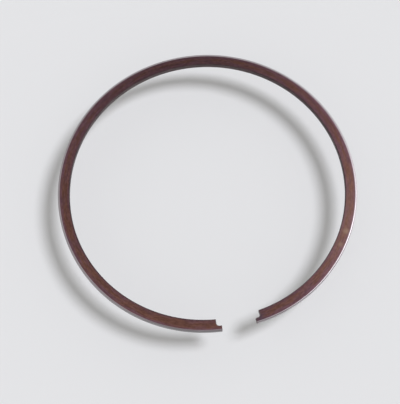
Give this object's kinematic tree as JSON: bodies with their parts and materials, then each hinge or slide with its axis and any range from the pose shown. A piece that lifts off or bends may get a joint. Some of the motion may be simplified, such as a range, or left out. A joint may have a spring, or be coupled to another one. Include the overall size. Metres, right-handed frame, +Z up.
{
  "type": "piston ring",
  "caption": "Open piston ring of flat rectangular section, with brown flanks, a bright rounded running face and notched ends that straddle a locating pin.",
  "frame": {"origin": "middle of the ring's outline in plan, on the plane of its lower flank", "axes": "+Z up, square to the flanks; the end gap faces -Y; +X runs across the gap"},
  "size_m": [0.0562, 0.0552, 0.0012],
  "materials": {
    "ring_steel": "brown to plum temper oxide on the flanks, inner face and notches, bright hard chrome on the running face"
  },
  "bodies": {
    "root": {"piston_ring": "ring_steel"}
  },
  "joints": []
}
